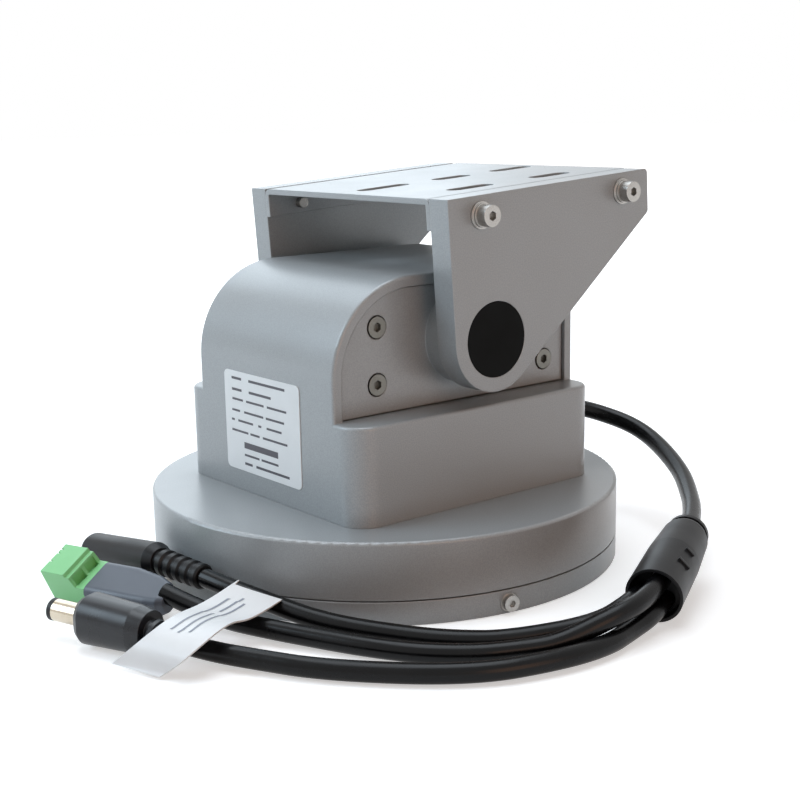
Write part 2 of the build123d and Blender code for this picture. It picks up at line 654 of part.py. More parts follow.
def pan_motor():
    body = motor((PAN_MOTOR_X, PAN_MOTOR_Y, DISC_TOP), (0, 0, 1), PAN_MOTOR_L)
    for x, y in pan_motor_screw_places():
        body -= rod(M25[0] + THREAD_FIT, 4, (x, y, DISC_TOP))
    return body


def tilt_motor_screw_places():
    reach = MOTOR_R * 0.72
    return [(TILT_MOTOR_Y + s * reach, TILT_MOTOR_Z) for s in (-1, 1)]


def tilt_motor():
    face_x = MOTOR_PLATE_X + MOTOR_PLATE_T
    body = motor((face_x, TILT_MOTOR_Y, TILT_MOTOR_Z), (1, 0, 0), TILT_MOTOR_L)
    for y, z in tilt_motor_screw_places():
        body -= rod(M25[0] + THREAD_FIT, 4, (face_x, y, z), (1, 0, 0))
    return body


def foot_screw_places():
    middle = (FOOT_Y0 + FOOT_Y1) / 2
    return [(MOTOR_PLATE_X + MOTOR_PLATE_T + FOOT_REACH / 2, middle + s * 2.9) for s in (-1, 1)]


def motor_bracket():
    """Angle bracket: a plate for the tilt motor's face, a leg and a foot on the deck."""
    x0 = MOTOR_PLATE_X
    x1 = x0 + MOTOR_PLATE_T
    head = rod(MOTOR_R + 1.5, MOTOR_PLATE_T, (x0, TILT_MOTOR_Y, TILT_MOTOR_Z), (1, 0, 0))
    leg = slab(x0, x1, FOOT_Y0, FOOT_Y1, DISC_TOP, TILT_MOTOR_Z)
    foot = slab(x0, x1 + FOOT_REACH, FOOT_Y0, FOOT_Y1, DISC_TOP, DISC_TOP + MOTOR_PLATE_T)
    body = head + leg + foot
    body -= rod(PILOT_R + HOLE_FIT, MOTOR_PLATE_T, (x0, TILT_MOTOR_Y, TILT_MOTOR_Z), (1, 0, 0))
    for y, z in tilt_motor_screw_places():
        body -= rod(M25[0] + HOLE_FIT, MOTOR_PLATE_T, (x0, y, z), (1, 0, 0))
    for x, y in foot_screw_places():
        body -= rod(M25[0] + HOLE_FIT, MOTOR_PLATE_T, (x, y, DISC_TOP))
    return body


def motor_screws():
    made = [screw(M25, DECK + 3.5, (x, y, CAVITY_TOP), (0, 0, 1)) for x, y in pan_motor_screw_places()]
    made += [screw(M25, MOTOR_PLATE_T + 3.5, (MOTOR_PLATE_X, y, z), (1, 0, 0)) for y, z in tilt_motor_screw_places()]
    top = DISC_TOP + MOTOR_PLATE_T
    made += [screw(M25, MOTOR_PLATE_T + DECK, (x, y, top), (0, 0, -1)) for x, y in foot_screw_places()]
    return pieces(made)


def pan_motor_shaft():
    length = DISC_TOP + 5 - PINION_Z
    return rod(MOTOR_SHAFT_R, length, (PAN_MOTOR_X, PAN_MOTOR_Y, PINION_Z))


def pan_pinion():
    phase = PAN_MOTOR_ANGLE + 180 + 180 / PAN_PINION_N
    body = Pos(PAN_MOTOR_X, PAN_MOTOR_Y, PINION_Z) * extrude(gear_face(PAN_PINION_N, phase), PINION_T)
    body += tube(MOTOR_SHAFT_R + 1.8, MOTOR_SHAFT_R, PINION_T + 2.5, (PAN_MOTOR_X, PAN_MOTOR_Y, PINION_Z))
    return body - rod(MOTOR_SHAFT_R, PINION_T + 2.5, (PAN_MOTOR_X, PAN_MOTOR_Y, PINION_Z))


def across_x(x, y, z):
    """A plane square to the tilt axis, whose own X is the object's Y."""
    return Plane(origin=(x, y, z), x_dir=(0, 1, 0), z_dir=(1, 0, 0))


def tilt_sector():
    mesh = MESH_ANGLE - 90
    teeth = extrude(gear_face(SECTOR_N, mesh), SECTOR_T)
    reach = MODULE * SECTOR_N
    low = math.radians(SECTOR_LOW - 90)
    high = math.radians(SECTOR_HIGH - 90)
    middle = (low + high) / 2
    corners = [Vector(reach * math.cos(a), reach * math.sin(a)) for a in (low, middle, high)]
    wedge = Face(Wire.make_polygon([Vector(0, 0)] + corners, close=True))
    sector = teeth & extrude(wedge, SECTOR_T)
    body = sector + rod(HUB_R, HUB_L)
    body -= rod(SHAFT_R, HUB_L)
    body -= rod(M4_LOW[0] + THREAD_FIT, HUB_R + 1, (0, 0, SECTOR_T + 2.0), (0, 1, 0))
    return across_x(SECTOR_X, TILT_Y, TILT_Z) * body


def hub_screw():
    at = across_x(SECTOR_X, TILT_Y, TILT_Z)
    body = rod(M4_LOW[0], HUB_R - SHAFT_R, (0, SHAFT_R, SECTOR_T + 2.0), (0, 1, 0))
    key = Plane(origin=(0, HUB_R, SECTOR_T + 2.0), z_dir=(0, -1, 0)) * extrude(RegularPolygon(1.1, 6), 2)
    return at * (body - key)


def tilt_motor_shaft():
    end = MOTOR_PLATE_X + MOTOR_PLATE_T + 6
    start = SECTOR_X - 0.6
    return rod(MOTOR_SHAFT_R, end - start, (start, TILT_MOTOR_Y, TILT_MOTOR_Z), (1, 0, 0))


def tilt_pinion():
    phase = MESH_ANGLE - 90 + 180 + 180 / TILT_PINION_N
    width = SECTOR_T + 1.2
    body = extrude(gear_face(TILT_PINION_N, phase), width) - rod(MOTOR_SHAFT_R, width)
    return across_x(SECTOR_X - 0.6, TILT_MOTOR_Y, TILT_MOTOR_Z) * body


# Bracket
def tilt_shaft():
    half = ARM_OUT - CAP_WELL - 0.2
    body = rod(SHAFT_R, 2 * half, (-half, 0, 0), (1, 0, 0))
    for side in (-1, 1):
        for face in (-1, 1):
            x0, x1 = sorted((side * (ARM_IN - 0.1), side * (half + 1)))
            z0, z1 = sorted((face * SHAFT_FLATS / 2, face * (SHAFT_R + 1)))
            body -= slab(x0, x1, -SHAFT_R, SHAFT_R, z0, z1)
        body -= rod(M4_LOW[0] + THREAD_FIT, 12, (side * (half - 12), 0, 0), (side, 0, 0))
    return BRACKET * body


def spacers():
    length = ARM_IN - TILT_B_OUT
    return pieces([BRACKET * tube(SHAFT_R + 1.6, SHAFT_R + 0.02, length, (s * TILT_B_OUT, 0, 0), (s, 0, 0))
                   for s in (-1, 1)])


def arm_face():
    """Side outline of an arm about the tilt axis: round lower end, straight front, sloping rear edge."""
    heel = Vector(ARM_BACK, ARM_H - ARM_HEEL)
    reach = heel.length
    slope = math.atan2(heel.Y, heel.X) - math.acos(ARM_R / reach)
    touch = Vector(ARM_R * math.cos(slope), ARM_R * math.sin(slope))
    front = Vector(-ARM_R, 0)
    bottom = Vector(ARM_R * math.cos(math.radians(-110)), ARM_R * math.sin(math.radians(-110)))
    top_front = Vector(-ARM_R, ARM_H)
    top_back = Vector(ARM_BACK, ARM_H)
    outline = Wire([
        Edge.make_line(top_front, front),
        Edge.make_three_point_arc(front, bottom, touch),
        Edge.make_line(touch, heel),
        Edge.make_line(heel, top_back),
        Edge.make_line(top_back, top_front),
    ])
    return Face(outline)


def arm(side):
    inner, outer = sorted((side * ARM_IN, side * ARM_OUT))
    body = Plane(origin=(inner, 0, 0), x_dir=(0, 1, 0), z_dir=(1, 0, 0)) * extrude(arm_face(), outer - inner)
    corners = body.edges().filter_by(Axis.X).sort_by(Axis.Y)
    body = fillet(corners[-2:], ARM_CORNER)
    body -= rod(CAP_R + 0.05, CAP_WELL, (side * ARM_OUT, 0, 0), (-side, 0, 0))
    bore = rod(SHAFT_R + 0.03, ARM_T, (side * ARM_IN, 0, 0), (side, 0, 0))
    body -= bore & slab(-DISC_R, DISC_R, -DISC_R, DISC_R, -SHAFT_FLATS / 2 - 0.03, SHAFT_FLATS / 2 + 0.03)
    for y, z in ARM_SCREWS:
        body -= rod(M3[0] + HOLE_FIT, ARM_T, (side * ARM_IN, y, z), (side, 0, 0))
    return BRACKET * body


def arm_caps():
    return pieces([BRACKET * rod(CAP_R, CAP_T, (s * (ARM_OUT - CAP_T), 0, 0), (s, 0, 0)) for s in (-1, 1)])


def shaft_end_screws():
    seat = ARM_OUT - CAP_WELL + 1.0
    return pieces([BRACKET * screw(M4_LOW, 10, (s * seat, 0, 0), (-s, 0, 0)) for s in (-1, 1)])


def shaft_end_washers():
    seat = ARM_OUT - CAP_WELL
    return pieces([BRACKET * tube(CAP_R - 2.4, M4_LOW[0] + HOLE_FIT, 1.0, (s * seat, 0, 0), (s, 0, 0)) for s in (-1, 1)])


def top_sheet():
    """Sheet between the arms with turned-down sides and the camera's slots."""
    span = slab(-ARM_IN, ARM_IN, -ARM_R, ARM_BACK, ARM_H - LIP, ARM_H)
    bends = [e for e in span.edges().filter_by(Axis.Y) if e.center().Z > ARM_H - 1]
    span = fillet(bends, SHEET_BEND)
    inside = slab(-ARM_IN + SHEET, ARM_IN - SHEET, -DISC_R, DISC_R, 0, ARM_H - SHEET)
    hollow = [e for e in inside.edges().filter_by(Axis.Y) if e.center().Z > ARM_H - SHEET - 1]
    body = span - fillet(hollow, SHEET_BEND - SHEET)
    for x, y, length in SLOTS:
        slot = Pos(x, y, ARM_H - 2 * SHEET) * extrude(SlotOverall(length, SLOT_W, 90), 3 * SHEET)
        body -= slot
    for side in (-1, 1):
        for y, z in ARM_SCREWS:
            body -= rod(M3[0] + THREAD_FIT, SHEET * 2, (side * (ARM_IN - SHEET * 1.5), y, z), (side, 0, 0))
    return BRACKET * body


def arm_screws():
    seat = ARM_OUT + FLAT_WASHER_T + SPRING_WASHER_T
    return pieces([BRACKET * screw(M3, 12, (s * seat, y, z), (-s, 0, 0)) for s in (-1, 1) for y, z in ARM_SCREWS])


def arm_washers():
    made = []
    for s in (-1, 1):
        for y, z in ARM_SCREWS:
            flat = tube(M3[1] + 0.75, M3[0] + HOLE_FIT, FLAT_WASHER_T, (s * ARM_OUT, y, z), (s, 0, 0))
            spring = tube(M3[1] + 0.3, M3[0] + HOLE_FIT, SPRING_WASHER_T, (s * (ARM_OUT + FLAT_WASHER_T), y, z), (s, 0, 0))
            made += [BRACKET * flat, BRACKET * spring]
    return pieces(made)


# Electronics and label
def control_board():
    body = slab(*BOARD_X, BOARD_Y, BOARD_Y + BOARD_T, *BOARD_Z)
    for x, z in BOARD_HOLES:
        body -= rod(M2[0] + HOLE_FIT, BOARD_T, (x, BOARD_Y, z), (0, 1, 0))
    return body


def board_parts():
    """Chips, a capacitor, a header and the screws and spacers that hold the board."""
    face = BOARD_Y + BOARD_T
    made = [slab(2, 12, face, face + 1.4, 30, 40), slab(20, 26, face, face + 1.2, 33, 38)]
    made.append(slab(-5, 7, face, face + 6.0, 23.4, 28.4))
    made.append(rod(3.2, 7.0, (17, face, 27.5), (0, 1, 0)))
    wall = FRONT_Y + WALL
    for x, z in BOARD_HOLES:
        made.append(tube(1.9, M2[0] + HOLE_FIT, BOARD_Y - wall, (x, wall, z), (0, 1, 0)))
        made.append(screw(M2, face - wall, (x, face, z), (0, -1, 0)))
    return pieces(made)


def rating_label():
    x, z = LABEL_AT
    plane = Plane(origin=(x, FRONT_Y, z), x_dir=(1, 0, 0), z_dir=(0, -1, 0))
    return plane * extrude(RectangleRounded(LABEL_W, LABEL_H, LABEL_R), LABEL_T)


def cable_gland():
    """Moulded bush that snaps into the rear wall and tapers down round the main lead."""
    out = BACK_Y
    profile = [(0, -WALL - 1.2), (GLAND_R + 0.7, -WALL - 1.2), (GLAND_R + 0.7, -WALL), (GLAND_R, -WALL), (GLAND_R, 0),
               (GLAND_R + 1.3, 0), (GLAND_R + 1.3, 1.4), (GLAND_R - 0.4, 1.8), (MAIN_D / 2 + 0.7, GLAND_L), (0, GLAND_L)]
    return turned(profile, (GLAND_X, out, GLAND_Z), (0, 1, 0))


# What the leads end in
def splitter():
    """Moulding that parts the main lead into three: ringed neck, growing body and an open mouth."""
    axis = SPLIT_MOUTH - SPLIT_TOP
    length = axis.length
    neck = MAIN_D / 2 + 0.7
    well = SPLIT_R - SPLIT_WALL
    ring = SPLIT_R - 1.6
    profile = [(0, -SPLIT_NECK), (neck, -SPLIT_NECK), (ring - 0.8, -3.7), (ring, -2.2), (ring, -0.9),
               (ring - SPLIT_GROOVE, -0.9), (ring - SPLIT_GROOVE, 0.1), (ring, 0.1), (ring + 0.6, 1.7),
               (SPLIT_R - 0.2, length * 0.45), (SPLIT_R, length), (well, length), (well, length - SPLIT_WELL),
               (0, length - SPLIT_WELL)]
    body = turned(profile, SPLIT_TOP, axis)
    side = Vector(-axis.Y, axis.X, 0)
    for z, width in SPLIT_BARS:
        place = Plane(origin=SPLIT_TOP + axis.normalized() * z, x_dir=side, z_dir=axis)
        bar = Pos(SPLIT_R - 0.6, 0, 0) * Box(1.8, width, 0.9, align=CENTRED)
        body += place * (Rot(0, 0, SPLIT_BAR_TURN) * bar)
    return body


def relief(end, neck, radius, ribs):
    """Ribbed strain relief that starts at the lead and grows towards its moulding's neck."""
    length = (neck - end).length
    pitch = length / ribs
    stations = []
    for i in range(ribs):
        z = i * pitch
        crest = RELIEF_CORE + (radius - RELIEF_CORE) * (0.55 + 0.45 * (i + 1) / ribs)
        stations += [(z, RELIEF_CORE), (z + pitch * 0.15, crest), (z + pitch * 0.6, crest), (z + pitch * 0.75, RELIEF_CORE)]
    stations.append((length + 1.0, RELIEF_CORE))
    return ribbed(stations, end, neck - end)


def jack_moulding():
    """Round moulding of the DC socket, bent a little against its strain relief."""
    axis = JACK_TIP - JACK_NECK
    length = axis.length
    collar = RELIEF_CORE + 0.6
    profile = [(0, 0), (collar, 0), (JACK_R, 2.5), (JACK_R, length - JACK_NOSE), (JACK_R - 0.4, length - JACK_NOSE / 3),
               (JACK_R - 1.2, length), (0, length)]
    body = relief(JACK_END, JACK_NECK, JACK_RELIEF_R, 5) + turned(profile, JACK_NECK, axis)
    return body - rod(JACK_BORE + 0.4, JACK_DEPTH, JACK_TIP, axis * -1)


def jack_contact():
    """Spring sleeve and centre pin inside the socket."""
    unit = (JACK_TIP - JACK_NECK).normalized()
    sleeve = tube(JACK_BORE + 0.4, JACK_BORE, JACK_DEPTH - 0.6, JACK_TIP - unit * JACK_DEPTH, unit)
    pin = rod(1.05, JACK_DEPTH - 1.0, JACK_TIP - unit * JACK_DEPTH, unit)
    return pieces([sleeve, pin])


def terminal_plane():
    """At the terminal's tip: Z along its own axis, and Y up and leaning towards the front."""
    unit = (TERM_TIP - TERM_END).normalized()
    side = Vector(0, 0, 1).cross(unit).normalized()
    rolled = side.rotate(Axis((0, 0, 0), unit), -TERM_ROLL)
    return Plane(origin=TERM_TIP, x_dir=rolled, z_dir=unit)


def terminal_overmould():
    """Flat overmould whose rear corner is well rounded, as width, height and offset along its axis."""
    plane = terminal_plane()
    top = TERM_H / 2 - TERM_DROP + 0.3
    length = (TERM_TIP - TERM_END).length
    wide = TERM_W + 2 * TERM_SIDE
    stations = [(TERM_BLOCK_L, wide, 6.2, 0), (length - 13, wide, 6.2, 0), (length - 5, wide - 1.6, 5.9, 0.6),
                (length - 1.5, wide - 3.6, 5.6, 1.1), (length, wide - 6.2, 4.9, 1.3)]
    shapes = [plane.offset(-z) * (Pos(x, top - 3.1, 0) * RectangleRounded(w, h, 1.8)) for z, w, h, x in stations]
    return loft(shapes, ruled=True)


def terminal_block():
    """Two-way pluggable block: crest, ledge and low part, test windows, notches and contact openings."""
    crest = TERM_H / 2
    corners = [(0, crest), (-TERM_CREST, crest), (-TERM_CREST - 0.4, crest - TERM_LEDGE),
               (-TERM_CREST - 1.4, crest - TERM_LEDGE), (-TERM_CREST - 2.5, crest - TERM_DROP),
               (-TERM_BLOCK_L, crest - TERM_DROP), (-TERM_BLOCK_L, -crest), (-0.8, -crest)]
    outline = Face(Wire.make_polygon([Vector(-TERM_W / 2, y, z) for z, y in corners], close=True))
    body = extrude(outline, TERM_W, dir=(1, 0, 0))
    window = -TERM_CREST - 1.6
    for side in (-1, 1):
        x0, x1 = sorted((side * 0.5, side * (TERM_W / 2 - 1.0)))
        body -= slab(x0, x1, crest - TERM_DROP - 0.8, crest - TERM_LEDGE - 0.4, window - 1.3, window)
        middle = side * TERM_PITCH / 2
        body -= slab(middle - 1.5, middle + 1.5, -2.6, 0.6, -7.0, 1.0)
    for x in TERM_NOTCHES:
        body -= slab(x - 0.25, x + 0.25, crest - 3.0, crest + 1.0, -0.8, 1.0)
    return terminal_plane() * body


def terminal_contacts():
    """A folded spring contact in each opening, standing on the opening's rear wall."""
    plane = terminal_plane()
    made = []
    for x in (-TERM_PITCH / 2, TERM_PITCH / 2):
        fold = slab(x - 1.3, x + 1.3, -2.4, 0.4, -7.0, -1.0) - slab(x - 2, x + 2, -1.7, -0.3, -5.8, 0)
        made.append(plane * fold)
    return pieces(made)


def plug_moulding():
    """Oval moulding of the DC plug, widest beside its barrel."""
    axis = PLUG_TIP - PLUG_NECK
    length = axis.length - PLUG_BARREL
    level = Plane(origin=PLUG_NECK, x_dir=axis.cross(Vector(0, 0, 1)), z_dir=axis)
    stations = [(0, 9.4, 9.8, 4.4), (3.6, 10.6, 11.0, 4.8), (length - 1.5, 11.2, 12.0, 4.8), (length, 9.6, 10.4, 4.2)]
    shapes = [level.offset(z) * RectangleRounded(w, h, r) for z, w, h, r in stations]
    return relief(PLUG_END, PLUG_NECK, PLUG_RELIEF_R, 2) + loft(shapes, ruled=True)


def plug_barrel():
    unit = (PLUG_TIP - PLUG_NECK).normalized()
    start = PLUG_TIP - unit * PLUG_BARREL
    return tube(BARREL_R, PLUG_BORE_R, PLUG_BARREL - PLUG_TIP_RING, start, unit)


def plug_tip():
    unit = (PLUG_TIP - PLUG_NECK).normalized()
    return tube(BARREL_R, PLUG_BORE_R, PLUG_TIP_RING, PLUG_TIP - unit * PLUG_TIP_RING, unit)


def flag_tag():
    """White strip glued round the socket's lead, lying over the other two down to the floor."""
    left = [Vector(*p) for p in TAG_LEFT]
    right = [Vector(*p) for p in TAG_RIGHT]
    middle = [(a + b) * 0.5 for a, b in zip(left, right)]
    sections = []
    for i, point in enumerate(middle):
        across = right[i] - left[i]
        run = middle[min(i + 1, len(middle) - 1)] - middle[max(i - 1, 0)]
        plane = Plane(origin=point, x_dir=across, z_dir=across.cross(run.cross(across)))
        sections.append(plane * Rectangle(across.length, TAG_T))
    strip = loft(sections)
    along = TAG_FOLD_DIR.normalized()
    rise = Vector(0, 0, 1) - along * along.Z
    fold = tube(LEAD_D / 2 + TAG_FOLD_T, LEAD_D / 2, TAG_FOLD_W, TAG_FOLD - along * (TAG_FOLD_W / 2), along)
    front = Plane(origin=TAG_FOLD, x_dir=along, z_dir=rise)
    open_side = front * slab(-TAG_FOLD_W, TAG_FOLD_W, -2 * LEAD_D, -0.2, -2 * LEAD_D, LEAD_D / 2 - 0.3)
    return strip + (fold - open_side)


def save(name, shape):
    export_step(shape, f"parts/{name}.step")


def main():
    pan_inner, pan_outer, pan_spheres = pan_bearing_parts()
    tilt_inner, tilt_outer, tilt_spheres = tilt_bearing_parts()
    nodes = {
        "base_ring": base_ring(),
        "mounting_plate": mounting_plate(),
        "ring_screws": ring_screws(),
        "ring_screw_washers": ring_washers(),
        "pan_spindle": pan_spindle(),
        "spindle_screws": spindle_screws(),
        "spindle_nut": spindle_nut(),
        "pan_gear": pan_gear(),
        "pan_gear_screws": gear_screws(),
        "pan_inner_races": pan_inner,
        "pan_stop_pin": stop_pin(),
        "turntable": turntable(),
        "housing": housing(),
        "housing_screws": housing_screws(),
        "pan_outer_races": pan_outer,
        "pan_bearing_balls": pan_spheres,
        "side_plate_right": side_plate(1),
        "side_plate_left": side_plate(-1),
        "side_plate_screws": cover_screws(),
        "tilt_outer_races": tilt_outer,
        "tilt_bearing_balls": tilt_spheres,
        "pan_motor": pan_motor(),
        "tilt_motor": tilt_motor(),
        "tilt_motor_bracket": motor_bracket(),
        "motor_screws": motor_screws(),
        "control_board": control_board(),
        "board_parts": board_parts(),
        "rating_label": rating_label(),
        "cable_gland": cable_gland(),
        "main_lead": lead(MAIN_ROUTE, MAIN_D, "main_lead"),
        "lead_splitter": splitter(),
        "socket_lead": lead(JACK_ROUTE, LEAD_D, "socket_lead"),
        "terminal_lead": lead(TERM_ROUTE, LEAD_D, "terminal_lead"),
        "plug_lead": lead(PLUG_ROUTE, LEAD_D, "plug_lead"),
        "socket_moulding": jack_moulding(),
        "socket_contact": jack_contact(),
        "terminal_overmould": terminal_overmould(),
        "terminal_block": terminal_block(),
        "terminal_contacts": terminal_contacts(),
        "plug_moulding": plug_moulding(),
        "plug_barrel": plug_barrel(),
        "plug_tip": plug_tip(),
        "flag_tag": flag_tag(),
        "tilt_shaft": tilt_shaft(),
        "tilt_inner_races": tilt_inner,
        "shaft_spacers": spacers(),
        "tilt_sector": tilt_sector(),
        "sector_screw": hub_screw(),
        "arm_right": arm(1),
        "arm_left": arm(-1),
        "arm_caps": arm_caps(),
        "shaft_end_screws": shaft_end_screws(),
        "shaft_end_washers": shaft_end_washers(),
        "top_sheet": top_sheet(),
        "arm_screws": arm_screws(),
        "arm_screw_washers": arm_washers(),
        "pan_motor_shaft": pan_motor_shaft(),
        "pan_pinion": pan_pinion(),
        "tilt_motor_shaft": tilt_motor_shaft(),
        "tilt_pinion": tilt_pinion(),
    }
    for name, shape in nodes.items():
        save(name, shape)
    print(len(nodes), "nodes")


main()
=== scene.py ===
# %% [markdown]
# # Dressing a motorised pan and tilt head
# The CAD model already has every piece at its real size. This lesson gives those pieces their finishes,
# lays the four rubbery leads as smooth curves, prints the sticker and the flag, and lights the set.
# Lengths are in metres, +Z is up, the pan axis is Z and the label looks along -Y.

# %% Load the frame
import math

import bmesh
import bpy
from mathutils import Matrix, Vector


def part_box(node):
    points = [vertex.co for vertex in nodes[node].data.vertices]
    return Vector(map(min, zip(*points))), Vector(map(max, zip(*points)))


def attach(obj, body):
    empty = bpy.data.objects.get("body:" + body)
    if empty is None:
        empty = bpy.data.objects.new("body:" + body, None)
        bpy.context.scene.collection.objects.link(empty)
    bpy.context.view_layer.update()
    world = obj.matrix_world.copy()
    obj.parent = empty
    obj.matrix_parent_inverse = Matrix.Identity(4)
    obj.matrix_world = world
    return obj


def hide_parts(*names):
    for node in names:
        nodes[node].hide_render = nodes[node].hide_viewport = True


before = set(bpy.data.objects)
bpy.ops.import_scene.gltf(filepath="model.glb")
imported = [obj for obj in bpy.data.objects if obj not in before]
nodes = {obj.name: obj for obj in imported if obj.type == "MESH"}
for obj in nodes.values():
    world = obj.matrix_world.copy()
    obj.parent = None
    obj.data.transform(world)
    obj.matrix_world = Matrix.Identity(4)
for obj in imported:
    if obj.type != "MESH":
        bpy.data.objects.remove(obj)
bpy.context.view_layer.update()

# %% [markdown]
# ## The camera
# The photograph was taken a little above the turntable, between the label face and the right arm. A
# camera is placed by its spot, the way it turns, and its lens. Turning is easiest to read as a compass
# bearing, a dip below the horizon and a small roll, so the three are turned into the camera's own right,
# up and back directions.

# %% Camera
CAMERA_SPOT = Vector((0.29781, -0.23244, 0.12222))
BEARING, DIP, ROLL = 51.32, 12.01, -1.047
LENS_MM = 61.887


def camera_axes(bearing, dip, roll):
    """The camera's right, up and back directions."""
    a, e, r = (math.radians(x) for x in (bearing, dip, roll))
    back = Vector((math.sin(a) * math.cos(e), -math.cos(a) * math.cos(e), math.sin(e)))
    right = Vector((math.cos(a), math.sin(a), 0))
    up = back.cross(right)
    return right * math.cos(r) + up * math.sin(r), up * math.cos(r) - right * math.sin(r), back


camera_data = bpy.data.cameras.new("photo_camera")
camera_data.lens = LENS_MM
camera_data.sensor_width = 36.0
camera_data.clip_start, camera_data.clip_end = 0.02, 20.0
camera = bpy.data.objects.new("photo_camera", camera_data)
bpy.context.scene.collection.objects.link(camera)
turn = Matrix(camera_axes(BEARING, DIP, ROLL)).transposed().to_4x4()
camera.matrix_world = Matrix.Translation(CAMERA_SPOT) @ turn
bpy.context.scene.camera = camera

# %% [markdown]
# ## The leads
# The round jacketed lead leaves the gland at the back, drops to the floor in one wide curve and runs into
# a splitter moulding. Three thinner leads leave the splitter's mouth and sweep round the front of the
# base to a socket, a green terminal and a plug. A NURBS curve is right for a lead, because it bends
# smoothly between few points, as rubbery PVC does. Each one's points are where its CAD tube turns. The
# curve is drawn twice, once bare for its line and once thick for the jacket's mesh, and then put away.

# %% Lay the leads
MAIN_JACKET, THIN_JACKET = 0.0050, 0.0048
LEADS = {
    "main_lead": [
        (0.0020, 0.0500, 0.0330), (0.0020, 0.0590, 0.0330), (0.0054, 0.0688, 0.0311),
        (0.0127, 0.0763, 0.0284), (0.0226, 0.0798, 0.0256), (0.0328, 0.0787, 0.0221),
        (0.0469, 0.0719, 0.0181), (0.0560, 0.0646, 0.0157), (0.0681, 0.0526, 0.0134),
        (0.0761, 0.0407, 0.0124)],
    "socket_lead": [
        (0.0885, 0.0103, 0.0075), (0.0907, 0.0019, 0.0065), (0.0900, -0.0089, 0.0037),
        (0.0812, -0.0286, 0.00242), (0.0736, -0.0372, 0.00242), (0.0644, -0.0442, 0.0025),
        (0.0465, -0.0558, 0.0036), (0.0298, -0.0626, 0.0067), (0.0213, -0.0669, 0.0086),
        (0.0123, -0.0685, 0.0093)],
    "terminal_lead": [
        (0.0921, 0.0116, 0.0107), (0.0967, 0.0012, 0.0094), (0.0967, -0.0107, 0.0079),
        (0.0915, -0.0227, 0.0031), (0.0875, -0.0301, 0.0025), (0.0821, -0.0404, 0.00242),
        (0.0694, -0.0523, 0.00245), (0.0413, -0.0660, 0.0028), (0.0248, -0.0735, 0.0036),
        (0.0124, -0.0788, 0.0075)],
    "plug_lead": [
        (0.0925, 0.0127, 0.0057), (0.0952, 0.0053, 0.0041), (0.0960, -0.0039, 0.0026),
        (0.0983, -0.0136, 0.00242), (0.0974, -0.0284, 0.0027), (0.0904, -0.0481, 0.00243),
        (0.0679, -0.0700, 0.00242), (0.0505, -0.0796, 0.0026), (0.0420, -0.0849, 0.0032),
        (0.0331, -0.0913, 0.0053)],
}


def lay_lead(name, thickness):
    """A round jacket swept along the smooth line of its route, and the points of that line."""
    route = bpy.data.curves.new(name + "_route", "CURVE")
    route.dimensions = "3D"
    spline = route.splines.new("NURBS")
    spline.points.add(len(LEADS[name]) - 1)
    for point, spot in zip(spline.points, LEADS[name]):
        point.co = (*spot, 1.0)
    spline.order_u = 3
    spline.use_endpoint_u = True
    spline.resolution_u = 16
    drawn = bpy.data.objects.new(name + "_route", route)
    bpy.context.scene.collection.objects.link(drawn)
    line = bpy.data.meshes.new_from_object(drawn.evaluated_get(bpy.context.evaluated_depsgraph_get()))
    route.bevel_depth = thickness / 2
    route.bevel_resolution = 8
    route.use_fill_caps = True
    tube = bpy.data.meshes.new_from_object(drawn.evaluated_get(bpy.context.evaluated_depsgraph_get()))
    bpy.data.objects.remove(drawn)
    lead = bpy.data.objects.new(name + "_jacket", tube)
    bpy.context.scene.collection.objects.link(lead)
    for face in tube.polygons:
        face.use_smooth = True
    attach(lead, "housing")
    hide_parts(name)
    return lead, [tuple(vertex.co) for vertex in line.vertices]


jackets, lines = {}, {}
for name in LEADS:
    jackets[name], lines[name] = lay_lead(name, MAIN_JACKET if name == "main_lead" else THIN_JACKET)
print("leads laid:", ", ".join(jackets))

# %% [markdown]
# ## Colours and nodes
# Colours are written as the sRGB hex values that a screen shows, and Blender's shaders want linear light,
# so one function turns the first into the second. A second small function adds a shader node with its
# settings and what feeds each of its inputs, which keeps each recipe below short. An input is named, or
# counted from 0: a Map Range carries the range from input 1 to 2 onto 3 to 4, and a Mix of colours blends
# 6 into 7. A third starts a finish: it sets the plain values on the shader and hands back the place on
# the piece in millimetres, so that every pattern below can be given in real sizes.

# %% Helpers for recipes
def hue(hex_code):
    """Linear colour of an sRGB hex code."""
    parts = [int(hex_code[i:i + 2], 16) / 255 for i in (1, 3, 5)]
    return (*[p / 12.92 if p <= 0.04045 else ((p + 0.055) / 1.055) ** 2.4 for p in parts], 1.0)


def add(tree, kind, feeds=None, **settings):
    """A node of that kind, with its settings and what feeds its inputs."""
    made = tree.nodes.new(kind)
    for name, value in settings.items():
        setattr(made, name, value)
    for socket, value in (feeds or {}).items():
        if isinstance(value, bpy.types.NodeSocket):
            tree.links.new(value, made.inputs[socket])
        else:
            made.inputs[socket].default_value = value
    return made


def begin_finish(name, **surface):
    """A new finish: its shader, with plain values set on it, and the place on the piece in millimetres."""
    material = bpy.data.materials.new(name)
    material.use_nodes = True
    tree = material.node_tree
    tree.nodes.clear()
    shader = add(tree, "ShaderNodeBsdfPrincipled", {k.replace("_", " "): v for k, v in surface.items()})
    add(tree, "ShaderNodeOutputMaterial", {"Surface": shader.outputs[0]})
    place = add(tree, "ShaderNodeTexCoord").outputs["Object"]
    millimetres = add(tree, "ShaderNodeVectorMath", {0: place, 1: (1000, 1000, 1000)}, operation="MULTIPLY")
    return material, tree, shader, millimetres.outputs[0]


print("silver grey in linear light:", [round(x, 3) for x in hue("#9b9d9f")[:3]])

